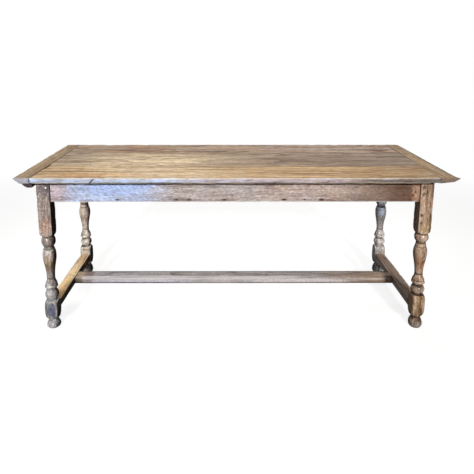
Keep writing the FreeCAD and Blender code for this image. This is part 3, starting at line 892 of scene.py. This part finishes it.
def turnLeg(heights, darkening):
    settings = legSettings
    line, necks, blocks = legOutline(heights)
    bm = newMesh()
    wear, grime = layer(bm, "wear"), layer(bm, "grime")
    verts = [bm.verts.new((radius, 0, height)) for radius, height in line]
    edges = [bm.edges.new(pair) for pair in zip(verts, verts[1:])]
    bmesh.ops.spin(bm, geom=verts + edges, cent=(0, 0, 0), axis=(0, 0, 1), angle=2 * math.pi,
                   steps=settings["turns"], use_merge=True)
    bmesh.ops.remove_doubles(bm, verts=bm.verts, dist=1e-5)
    bmesh.ops.recalc_face_normals(bm, faces=bm.faces)
    arrisFrom = settings["arrisFrom"]
    for vert in bm.verts:
        x, y, z = vert.co
        if any(start < z < end for start, end in blocks):
            # what was turned wider than a block is pressed flat on its faces
            if max(abs(x), abs(y)) > blockHalf * settings["faceFrom"]:
                nearEdge = min(abs(x), abs(y)) / blockHalf
                rubbed = max(0.0, (nearEdge - arrisFrom) / (1 - arrisFrom))
                vert[wear] = rubbed if nearEdge < settings["arrisTo"] else 1.0
            vert.co.x = max(-blockHalf, min(blockHalf, x))
            vert.co.y = max(-blockHalf, min(blockHalf, y))
        else:
            vert[wear] = max(0.0, (math.hypot(x, y) - settings["wearFrom"]) / settings["wearOver"])
        for height, reach in necks:
            vert[grime] = max(vert[grime], darkening * math.exp(-((z - height) / reach) ** 2))
    return bm


legLook = {
    **oakLook,
    "grain": "z",
    "tones": ((112, 90, 74), (160, 134, 112), (190, 164, 140)),
    "silverShare": 0.2,
    "blots": 0.3,
    "rings": 0.03,
    "pithDepth": 0.02,
    "wornShare": 0.25,
    "grimeAndShadeShare": 0.95,
    "cloud": 0.5,
    "darkFlecks": 0.5,
    "paleFlecks": 0.6,
    "fleckSize": (0.011, 0.008, 0.008),
    "polish": 0.9,
}
legFace = -blockHalf
legLooks = {
    # zones and marks are placed from the leg's own axis
    "leg_front_left": {
        **legLook,
        "tones": ((104, 84, 77), (156, 136, 127), (193, 174, 165)),
        "grime": (14, 11, 13),
        "cloud": 0.35,
        "blots": 0.15,
        "darkFlecks": 0.36,
        "paleFlecks": 0.45,
        "zones": [
            ((0, 0, 0.12), (0.07, 0.07, 0.17), (186, 178, 175), 1.0),
            ((0, 0, 0.016), (0.06, 0.06, 0.040), (162, 145, 143), 0.9),
            ((0, legFace, 0.70), (0.06, 0.03, 0.06), (126, 110, 111), 0.85),
            ((0, legFace, 0.51), (0.05, 0.02, 0.05), (192, 154, 134), 0.7),
            ((0, legFace, 0.325), (0.05, 0.05, 0.040), (146, 121, 92), 0.8),
            ((0, legFace, 0.362), (0.05, 0.05, 0.034), (198, 170, 156), 0.8),
            # painted highlight on the top of the vase
            ((0, legFace, 0.393), (0.03, 0.05, 0.026), (198, 188, 180), 0.8),
            ((0, legFace, 0.430), (0.06, 0.06, 0.038), (114, 94, 86), 0.9),
        ],
        "marks": [
            ((-0.005, legFace, 0.095), (0.040, 0.012, 0.050), (110, 108, 112), 0.75),
            ((0.003, legFace, 0.095), (0.024, 0.012, 0.038), (104, 104, 130), 0.75),
            ((0.027, legFace, 0.085), (0.007, 0.012, 0.045), (206, 198, 204), 0.8),
            # painted highlights on the low block's top, the low ball, the disc and the top of the vase
            ((0, -0.020, 0.140), (0.030, 0.030, 0.009), (200, 190, 190), 0.6),
            ((0, -0.029, 0.180), (0.014, 0.012, 0.012), (208, 205, 200), 0.55),
            ((-0.004, -0.029, 0.218), (0.022, 0.012, 0.006), (228, 218, 212), 0.6),
            ((-0.002, -0.030, 0.385), (0.010, 0.012, 0.014), (228, 224, 221), 0.55),
        ],
    },
    "leg_rear_left": {
        **legLook,
        "tones": ((138, 112, 96), (200, 171, 150), (240, 214, 194)),
        "worn": (248, 231, 208),
        "wornShare": 0.65,
        "grime": (14, 11, 13),
        "darkFlecks": 0.15,
        "zones": [((0, legFace, 0.19), (0.06, 0.06, 0.12), (250, 230, 206), 1.0)],
        "marks": [
            # painted shade on the foot
            ((0, 0, 0.020), (0.06, 0.06, 0.050), (48, 50, 60), 0.85),
            ((0, legFace, 0.149), (0.05, 0.01, 0.0035), (122, 96, 74), 0.7),
        ],
    },
    "leg_front_right": {
        **legLook,
        "tones": ((94, 67, 49), (168, 136, 112), (210, 178, 151)),
        "darkFlecks": 0.28,
        "paleFlecks": 0.35,
        "fleckSize": (0.016, 0.007, 0.007),
        "silverShare": 0.05,
        "zones": [
            ((0, legFace, 0.12), (0.05, 0.03, 0.08), (172, 138, 106), 0.9),
            ((0, legFace, 0.33), (0.05, 0.04, 0.07), (152, 112, 84), 0.9),
            ((0.006, legFace, 0.51), (0.03, 0.02, 0.045), (160, 130, 97), 0.8),
            ((0, legFace, 0.205), (0.05, 0.05, 0.026), (146, 124, 104), 0.8),
            ((0, 0, 0.018), (0.06, 0.06, 0.046), (130, 112, 104), 0.9),
        ],
        "marks": [
            ((0, -0.025, 0.318), (0.006, 0.02, 0.026), (128, 72, 44), 0.6),
            ((0.014, -0.02, 0.345), (0.008, 0.02, 0.022), (70, 48, 38), 0.6),
            # dirt round the pegs and the plugs
            *[((-pegAside, legFace, z), (0.011, 0.012, 0.011), (52, 38, 32), 0.85)
              for z in pegHeights("apron_pegs_front")],
            *[((-0.018, legFace, z), (0.010, 0.012, 0.010), (52, 38, 32), 0.75)
              for z in pegHeights("leg_plugs")],
        ],
    },
    "leg_rear_right": {
        **legLook,
        "tones": ((96, 88, 85), (172, 164, 160), (206, 200, 198)),
        "worn": (206, 204, 210),
        "wornShare": 0.4,
        "grime": (24, 20, 21),
        "fades": [("Z", 0.26, 0.38, (144, 146, 158), 0.75)],
        "zones": [
            ((0, legFace, 0.20), (0.06, 0.06, 0.085), (228, 214, 206), 0.9),
            ((0, legFace, 0.325), (0.06, 0.06, 0.045), (148, 139, 126), 0.8),
            # painted highlight on the top of the vase
            ((-0.004, legFace, 0.385), (0.014, 0.04, 0.030), (206, 208, 217), 0.8),
        ],
        # painted shade on the foot
        "marks": [((0, 0, 0.020), (0.06, 0.06, 0.050), (74, 72, 76), 0.8)],
    },
}


def soilSide(bm, toward, amount):
    # painted shade on the sides that face left and right, which also lose their wear
    wear, grime = layer(bm, "wear"), layer(bm, "grime")
    bm.normal_update()
    for vert in bm.verts:
        turned = max(0.0, vert.normal.x * toward)
        vert[grime] = max(vert[grime], amount * turned ** 1.5)
        vert[wear] *= 1 - turned


def makeLegs():
    for index, (node, ownLook) in enumerate(legLooks.items()):
        inNecks, inside, outside = legDirtAndShade[node]
        bm = turnLeg(turnings.get(node, turning), inNecks)
        handPlane(bm, seed=20.0 + index, **legShape)
        centre = legCentre(node)
        inward = -1 if centre.x > 0 else 1
        soilSide(bm, inward, inside)
        soilSide(bm, -inward, outside)
        bmesh.ops.translate(bm, verts=bm.verts, vec=(centre.x, centre.y, 0))
        look = {**ownLook, "shift": (0.7 * index, 0.013 * index - 0.3, 0.9)}
        for key in ("zones", "marks"):
            look[key] = [((centre.x + x, centre.y + y, z), *rest) for (x, y, z), *rest in ownLook[key]]
        addOak(node, bm, "frame_oak", look)


makeLegs()
print("legs done")

# Aprons
groove = {"middleDrop": 0.020, "half": 0.005, "depth": 0.010}
apronShape = {"arris": 0.0014, "chip": 0.0018}
apronLook = {
    **oakLook,
    "tones": ((140, 117, 107), (188, 167, 155), (214, 197, 186)),
    "silver": (212, 209, 214),
    "silverShare": 0.3,
    "cloud": 0.4,
    "mottle": 0.22,
    "mottleSize": (0.03, 0.006, 0.006),
    "blots": 0.2,
    "darkFlecks": 0.32,
    "paleFlecks": 0.36,
    "fleckSize": (0.014, 0.006, 0.006),
    "worn": (232, 227, 227),
}
ledgerNails = {
    "front": (-0.533, -0.266, -0.207, -0.049, 0.223, 0.314, 0.391),
    "rear": (-0.56, -0.28, 0.0, 0.28, 0.56),
}
nailStains = (0.5, 0.5, 0.45, 0.7, 0.85, 0.4, 0.85)  # round the front nails
stainDrop = 0.001
stainHigh = sum(corner.z for corner in boxes["ledger_nails_front"]) / 2 - stainDrop
apronFace = boxes["apron_front"][0].y
longApronLooks = {
    "front": {
        **apronLook,
        "shift": (0.2, 0.4, -0.1),
        "fades": [
            # a painted cool reflection over the left part of the face, warmer at the far left; darker
            # brown towards the right end
            ("X", -0.18, -0.48, (184, 186, 205), 0.85),
            ("X", -0.72, -0.80, (212, 164, 136), 0.85),
            ("X", 0.30, 0.76, (122, 90, 70), 0.9),
            ("X", 0.66, 0.77, (140, 104, 84), 0.5),
            ("X", 0.788, 0.806, (240, 220, 196), 0.8),
        ],
        "zones": [((0.35, apronFace, 0.68), (0.30, 0.05, 0.10), (199, 172, 156), 0.9)],
        "marks": [
            # painted cool reflection, strongest high on the left
            ((-0.53, apronFace, 0.705), (0.20, 0.02, 0.06), (166, 186, 232), 0.5),
            ((0.818, apronFace, 0.672), (0.022, 0.02, 0.048), (194, 156, 131), 0.8),
            ((0.813, apronFace, 0.674), (0.006, 0.02, 0.012), (124, 72, 44), 0.75),
            ((0.803, apronFace, 0.656), (0.010, 0.02, 0.009), (118, 66, 40), 0.75),
            *[((x, apronFace, stainHigh), (0.016, 0.012, 0.007), (46, 38, 42), stain)
              for x, stain in zip(ledgerNails["front"], nailStains)],
        ],
    },
    "rear": {**apronLook, "shift": (1.4, 0.1, 0.2)},
}


def makeAprons():
    reach = legX - blockHalf - shoulderGap
    for index, (row, look) in enumerate(longApronLooks.items()):
        node = "apron_" + row
        low, high = boxes[node]
        outer, inner, inward = (low.y, high.y, 1) if row == "front" else (high.y, low.y, -1)
        deep = inner - inward * groove["depth"]
        middle = high.z - groove["middleDrop"]
        outline = steppedSection(outer, inner, deep, low, high, middle, groove["half"])
        makePlank(node, outline, "x", (-reach, reach), "frame_oak", look,
                  seed=31.0 + index, endDirt=0.4, **apronShape)
    reach = legY - blockHalf - shoulderGap
    for index, side in enumerate(("left", "right")):
        node = "apron_" + side
        look = {**apronLook, "grain": "y", "shift": (0.6 + index, 0.3, 0.0)}
        makePlank(node, corners(*boxes[node], "y"), "y", (-reach, reach), "frame_oak", look,
                  seed=34.0 + index, **apronShape)


# Stretchers
stretcherSettings = {
    "wornAcross": 0.018,
    "wornDown": 0.009,
    "rubbedTo": 0.30,      # from here to the right the slope is rubbed less and less
    "rubbedFade": 0.35,
    "rubbedLeast": 0.35,
    "unrubbedEnd": 0.01,
}
longShape = {"arris": 0.0025, "chip": 0.003, "seed": 44.0, "endDirt": 0.4, "dirtReach": 0.004}
endShape = {"arris": 0.003, "chip": 0.003}
# painted shade, darkest on the left stretcher
insideShade = {"left": 0.95, "right": 0.25}  # on the end stretchers' inner faces
stretcherLook = {
    **oakLook,
    "shift": (0.5, 0.0, 0.02),
    "tones": ((120, 108, 103), (176, 166, 162), (208, 200, 196)),
    "silver": (184, 182, 190),
    "silverShare": 0.4,
    "worn": (216, 209, 205),
    "fades": [
        ("X", -0.3, 0.4, (164, 150, 142), 0.5),
        ("X", 0.35, 0.75, (172, 147, 126), 0.85),
        # painted shade along the rear upper edge and along the bottom of the front face
        ("Y", 0.022, 0.031, (92, 88, 90), 0.75),
        ("Z", 0.095, 0.087, (104, 102, 112), 0.7),
    ],
    "marks": [
        ((-0.82, 0.0, 0.115), (0.035, 0.07, 0.04), (204, 170, 132), 0.7),
        ((-0.77, 0.0, 0.115), (0.035, 0.07, 0.04), (116, 88, 72), 0.65),
        # painted highlights along the front face
        ((-0.45, -0.034, 0.103), (0.36, 0.010, 0.009), (226, 222, 236), 0.4),
        ((0.36, -0.034, 0.103), (0.32, 0.006, 0.011), (230, 222, 221), 0.65),
        # painted shade along the bottom of the front face
        ((-0.42, -0.034, 0.088), (0.42, 0.010, 0.008), (86, 82, 104), 0.85),
    ],
}
endStretcherLooks = {
    "left": {
        **oakLook,
        "grain": "y",
        "shift": (0.2, 0.2, 0.1),
        # pale golden tones, partly painted light on its top
        "tones": ((192, 140, 92), (243, 200, 154), (252, 226, 188)),
        "silverShare": 0.05,
        "grimeAndShadeShare": 0.98,
        "grime": (14, 11, 13),
        "worn": (244, 228, 198),
    },
    "right": {
        **oakLook,
        "grain": "y",
        "shift": (0.9, 0.4, 0.1),
        "tones": ((110, 86, 70), (164, 138, 119), (196, 170, 150)),
        "darkFlecks": 0.45,
        "worn": (210, 187, 168),
        "wornShare": 0.95,
    },
}


def makeEndStretchers():
    reach = legY - blockHalf - shoulderGap
    for index, (side, look) in enumerate(endStretcherLooks.items()):
        node = "end_stretcher_" + side
        low, high = boxes[node]
        inner = high.x if side == "left" else low.x
        makePlank(node, corners(low, high, "y"), "y", (-reach, reach), "frame_oak", look,
                  seed=41.0 + index, joints=[("x", inner)], jointDirt=insideShade[side], **endShape)


def makeLongStretcher():
    settings = stretcherSettings
    low, high = boxes["long_stretcher"]
    slopeRear = low.y + settings["wornAcross"]
    slopeLow = high.z - settings["wornDown"]
    outline = [
        (low.y, low.z), (high.y, low.z), (high.y, high.z), (slopeRear, high.z), (low.y, slopeLow),
    ]
    reach = boxes["end_stretcher_right"][0].x - shoulderGap
    # painted shade along the bottom and the rear upper edge
    shadedEdges = [("z", low.z), ("y", high.y)]
    bm = plankMesh(outline, "x", (-reach, reach), joints=shadedEdges, **longShape)
    wear = layer(bm, "wear")
    for vert in bm.verts:
        x, y, z = vert.co
        if y < slopeRear and z > slopeLow and abs(x) < reach - settings["unrubbedEnd"]:
            fade = (x - settings["rubbedTo"]) / settings["rubbedFade"]
            vert[wear] = 1 - (1 - settings["rubbedLeast"]) * min(1.0, max(0.0, fade))
    addOak("long_stretcher", bm, "frame_oak", stretcherLook)


makeAprons()
makeEndStretchers()
makeLongStretcher()
print("aprons and stretchers done")

# Bin: ledgers, floor boards, and the runners under the top
ledgerShape = {"arris": 0.0012, "chip": 0.0012, "endDirt": 0.3}
runnerShape = {"arris": 0.0012, "chip": 0.001, "endDirt": 0.3}
runnerTongue = {"half": 0.0046, "reach": 0.0096, "clear": 0.0004}
floorSettings = {
    "notch": 0.001,
    "arris": 0.0012,
    "seamDirt": 0.9,
    "tones": (1.06, 0.94, 1.02, 0.90, 1.04, 0.97, 0.91, 1.05),  # one for each board
}
floorShape = {"chip": 0.001, "hollow": 0.0004}


def makeLedgers():
    for index, row in enumerate(("front", "rear")):
        node = "ledger_" + row
        low, high = boxes[node]
        look = {**innerLook, "grain": "x", "shift": (0.1 + index, 0.2, 0.3)}
        makePlank(node, corners(low, high, "x"), "x", (low.x, high.x), "inner_oak", look,
                  seed=51.0 + index, **ledgerShape)


def floorOutline(low, high):
    # the end boards are notched round the legs
    notchX = legX - blockHalf - floorSettings["notch"]
    notchY = legY - blockHalf - floorSettings["notch"]
    if low.x < -notchX:
        return [
            (low.x, -notchY), (-notchX, -notchY), (-notchX, low.y), (high.x, low.y), (high.x, high.y),
            (-notchX, high.y), (-notchX, notchY), (low.x, notchY),
        ]
    if high.x > notchX:
        return [
            (low.x, low.y), (notchX, low.y), (notchX, -notchY), (high.x, -notchY), (high.x, notchY),
            (notchX, notchY), (notchX, high.y), (low.x, high.y),
        ]
    return corners(low, high, "z")


def makeFloor():
    for index, tone in enumerate(floorSettings["tones"], 1):
        node = "floor_board_" + str(index)
        low, high = boxes[node]
        look = {**innerLook, "shift": (0.37 * index, 0.21 * index, 0.1)}
        look["tones"] = [[c * tone for c in shade] for shade in innerLook["tones"]]
        bm = prism(floorOutline(low, high), "z", (low.z, high.z))
        softenEdges(bm, floorSettings["arris"])
        noteArrises(bm)
        soilJoints(bm, [("x", low.x), ("x", high.x)], floorSettings["seamDirt"])
        handPlane(bm, seed=60.0 + index, **floorShape)
        addOak(node, bm, "inner_oak", look)


def makeRunners():
    for row, sign in (("front", -1), ("rear", 1)):
        node = "runner_" + row
        low, high = boxes[node]
        outer, inner = (low.y, high.y) if sign < 0 else (high.y, low.y)
        face = outer - sign * runnerTongue["reach"] - sign * runnerTongue["clear"]
        middle = frameTop - groove["middleDrop"]
        outline = steppedSection(inner, face, outer, low, high, middle, runnerTongue["half"])
        look = {**innerLook, "grain": "x", "shift": (0.8 + sign, 0.1, 0.2)}
        makePlank(node, outline, "x", (low.x, high.x), "inner_oak", look,
                  seed=71.0 + sign, **runnerShape)


makeLedgers()
makeFloor()
makeRunners()
print("bin done")

# Pegs: whittled, so no two are the same
pegSettings = {
    "radius": pegRadius, "sides": 9, "uneven": 0.10, "dome": 0.0006, "domeInset": 0.3, "seed": 5,
}
pegLook = {
    **oakLook,
    "tones": ((70, 52, 40), (124, 98, 76), (166, 138, 110)),
    "blots": 0.6,
    "wornShare": 0.0,
}
pegGroups = {
    # axis that the pegs lie along, pegs on each axis
    "apron_pegs_front": ("y", (2, 1, 2)),
    "apron_pegs_rear": ("y", (2, 1, 2)),
    "apron_pegs_left": ("x", (1, 2, 2)),
    "apron_pegs_right": ("x", (1, 2, 2)),
    "leg_plugs": ("y", (1, 1, 2)),
    "end_stretcher_pegs_left": ("x", (1, 2, 1)),
    "end_stretcher_pegs_right": ("x", (1, 2, 1)),
    "long_stretcher_pegs": ("z", (2, 2, 1)),
    "clamp_pegs_left": ("z", (1, 3, 1)),
    "clamp_pegs_right": ("z", (1, 3, 1)),
    "runner_pegs_front": ("z", (4, 1, 1)),
    "runner_pegs_rear": ("z", (4, 1, 1)),
}
# pale end grain with a painted highlight, on the upper front-left apron peg
paleGlintPeg = (-legX + pegAside, -legY - blockHalf, pegHeights("apron_pegs_front")[0])
pegMarks = {"apron_pegs_front": [(paleGlintPeg, (0.02, 0.02, 0.02), (240, 238, 242), 0.95)]}


def spread(low, high, count):
    if count == 1:
        return [(low + high) / 2]
    return [low + (high - low) * index / (count - 1) for index in range(count)]


def pegPlaces(node, along, counts):
    # where a group's pegs are on the two axes across them, and their ends on the third
    low, high = boxes[node]
    index = "xyz".index(along)
    first, second = [spread(low[axis] + pegRadius, high[axis] - pegRadius, counts[axis])
                     for axis in range(3) if axis != index]
    return [(u, v) for u in first for v in second], (low[index], high[index])


def roughRound(bm, along, at, place, settings, angles, draw):
    # a round made by hand, whose corners are not all as far out
    ring = []
    for angle in angles:
        radius = settings["radius"] * (1 - settings["uneven"] * draw.random())
        across, up = place[0] + radius * math.cos(angle), place[1] + radius * math.sin(angle)
        ring.append(bm.verts.new(onAxis(along, at, across, up)))
    return bm.faces.new(ring)


def raiseMiddle(bm, tops, along, inset, distance):
    bmesh.ops.inset_region(bm, faces=tops, thickness=inset, use_even_offset=True)
    bmesh.ops.translate(bm, verts=tops[0].verts, vec=onAxis(along, distance, 0, 0))


def whittlePeg(bm, along, place, ends, draw):
    settings = pegSettings
    low, high = ends
    inside, out = (low, 1) if low + high > 0 else (high, -1)
    turn = draw.uniform(0, math.pi)
    angles = [turn + 2 * math.pi * side / settings["sides"] for side in range(settings["sides"])]
    cap = roughRound(bm, along, inside, place, settings, angles, draw)
    tops = drawOut(bm, cap, along, out * (high - low - settings["dome"]))[1]
    raiseMiddle(bm, tops, along, settings["radius"] * settings["domeInset"], out * settings["dome"])


def makePegs():
    draw = random.Random(pegSettings["seed"])
    for node, (along, counts) in pegGroups.items():
        places, ends = pegPlaces(node, along, counts)
        bm = newMesh()
        for place in places:
            whittlePeg(bm, along, place, ends, draw)
        look = {**pegLook, "grain": along, "marks": pegMarks.get(node, [])}
        addOak(node, bm, "peg_oak", look, sharp=50)


# Nails: forged heads with a few hammer facets
nailSettings = {
    "radius": 0.004, "sides": 8, "uneven": 0.16, "skew": 0.3, "thick": 0.0012, "facet": 0.45,
    "shank": 0.0018, "ledgerLength": 0.040, "battenLength": 0.030, "battenCount": 4, "seed": 9,
}


def forgeNail(bm, along, seat, out, length, draw):
    # seat is where the head meets the wood, out the way that it faces
    settings = nailSettings
    sides, half = settings["sides"], settings["thick"] / 2
    axis = "xyz".index(along)
    across = [seat[i] for i in range(3) if i != axis]
    angles = (2 * math.pi * (side + settings["skew"] * draw.random()) / sides for side in range(sides))
    cap = roughRound(bm, along, seat[axis], across, settings, angles, draw)
    tops = drawOut(bm, cap, along, out * half)[1]
    raiseMiddle(bm, tops, along, settings["radius"] * settings["facet"], out * half)
    rim = settings["radius"] - settings["shank"]
    bmesh.ops.inset_region(bm, faces=[cap], thickness=rim, use_even_offset=True)
    drawOut(bm, cap, along, -out * length)
    bmesh.ops.delete(bm, geom=[cap], context="FACES_ONLY")


def makeNails():
    settings = nailSettings
    draw = random.Random(settings["seed"])
    iron = ironFinish("nailIron", ironLook)
    for row, places in ledgerNails.items():
        node = "ledger_nails_" + row
        low, high = boxes[node]
        out = -1 if row == "front" else 1
        face = low.y + settings["thick"] if out < 0 else high.y - settings["thick"]
        bm = newMesh()
        for x in places:
            forgeNail(bm, "y", (x, face, (low.z + high.z) / 2), out, settings["ledgerLength"], draw)
        addPiece(pieceName(node), node, bm, "nail_iron", iron, sharp=30)
    low, high = boxes["batten_nails"]
    x, z = (low.x + high.x) / 2, low.z + settings["thick"]
    bm = newMesh()
    for y in spread(low.y + settings["radius"], high.y - settings["radius"], settings["battenCount"]):
        forgeNail(bm, "z", (x, y, z), -1, settings["battenLength"], draw)
    addPiece("battenNails", "batten_nails", bm, "nail_iron", iron, sharp=30)


makePegs()
makeNails()
print("pegs and nails done")

# Studio: pale floor, white surround, soft lamps
studio = {
    "floorSize": 24.0,
    "floorOval": (1.3, 1.0, 1.0),
    "whiteFrom": 1.6,     # past this distance the floor is plain white
    "whiteTo": 3.2,
    "floorGlow": 0.82,
    "floorTone": 0.36,
    "bounceTone": 0.06,
    "fill": 0.03,
}
lamps = {
    # place, target, width and height, watts, colour, spread in degrees
    "keyLeft": ((-1.9, -6.5, 3.3), (-0.75, -0.3, 0.45), (0.6, 0.6), 9.9, (0.92, 0.96, 1.0), 26),
    "keyRight": ((1.9, -6.5, 3.3), (0.75, -0.3, 0.45), (0.6, 0.6), 8.4, (1.0, 0.98, 0.95), 26),
    "side": ((-3.6, -0.05, 3.2), (-0.865, 0.0, 0.119), (0.15, 0.15), 0.15, (1.0, 0.96, 0.92), 5),
    "highRear": ((0.0, 5.2, 4.2), (0.0, 0.1, 0.6), (2.0, 1.2), 10, (1.0, 0.97, 0.93), 60),
    "lowRear": ((0.0, 7.0, 1.2), (0.0, 0.3, 0.5), (1.6, 0.8), 14, (1.0, 0.98, 0.95), 60),
    "overhead": ((-0.3, -0.1, 3.1), (-0.3, -0.1, 0.7), (4.0, 3.0), 31, (1.0, 0.97, 0.92), 180),
}


def grey(level):
    return (level, level, level, 1)


def litRays(pen):
    # 1 for the rays that should see a white surround
    kinds = ("Is Camera Ray", "Is Glossy Ray", "Is Transmission Ray")
    seen, mirrored, through = [pen.node("LightPath", None, None, kind) for kind in kinds]
    return seen.most(mirrored).most(through)


def setWorld():
    world = bpy.data.worlds.new("studio")
    world.use_nodes = True
    scene.world = world
    shader = world.node_tree.nodes["Background"]
    strength = litRays(Strand(world.node_tree)) * (1 - studio["fill"]) + studio["fill"]
    strength.into(shader, "Strength")
    shader.inputs["Color"].default_value = grey(1)


def floorFinish():
    finish, pen, shader = newFinish("floorPaint")
    pen.tree.nodes.remove(shader)
    spot = pen.node("TexCoord", None, None, "Object")
    far = spot.distanceTo((0, 0, 0), studio["floorOval"]).ease(studio["whiteFrom"], studio["whiteTo"])
    paint = pen.node("BsdfDiffuse", None, {"Color": grey(studio["floorTone"])})
    glow = pen.node("Emission", None, {"Color": grey(1), "Strength": studio["floorGlow"]})
    near = pen.node("AddShader", None, {0: paint, 1: glow})
    white = pen.node("Emission", None, {"Color": grey(1), "Strength": 1.0})
    seen = pen.node("MixShader", None, {0: far, 1: near, 2: white})
    bounce = pen.node("BsdfDiffuse", None, {"Color": grey(studio["bounceTone"])})
    whole = pen.node("MixShader", None, {0: litRays(pen), 1: bounce, 2: seen})
    whole.into(pen.tree.nodes["Material Output"], "Surface")
    return finish


def setFloor():
    bm = bmesh.new()
    bmesh.ops.create_grid(bm, x_segments=2, y_segments=2, size=studio["floorSize"] / 2)
    mesh = bpy.data.meshes.new("studioFloor")
    bm.to_mesh(mesh)
    bm.free()
    mesh.materials.append(floorFinish())
    floor = bpy.data.objects.new("studioFloor", mesh)
    scene.collection.objects.link(floor)


def setLamps():
    for name, (place, target, size, watts, colour, spreadAngle) in lamps.items():
        lamp = bpy.data.lights.new(name, "AREA")
        lamp.shape = "RECTANGLE"
        lamp.size, lamp.size_y = size
        lamp.energy = watts
        lamp.color = colour
        lamp.spread = math.radians(spreadAngle)
        holder = bpy.data.objects.new(name, lamp)
        holder.location = place
        holder.rotation_euler = (Vector(target) - Vector(place)).to_track_quat("-Z", "Y").to_euler()
        holder.visible_camera = False
        holder.visible_glossy = "Rear" not in name  # no streak of light across the top
        scene.collection.objects.link(holder)


setWorld()
setFloor()
setLamps()
print("studio done")
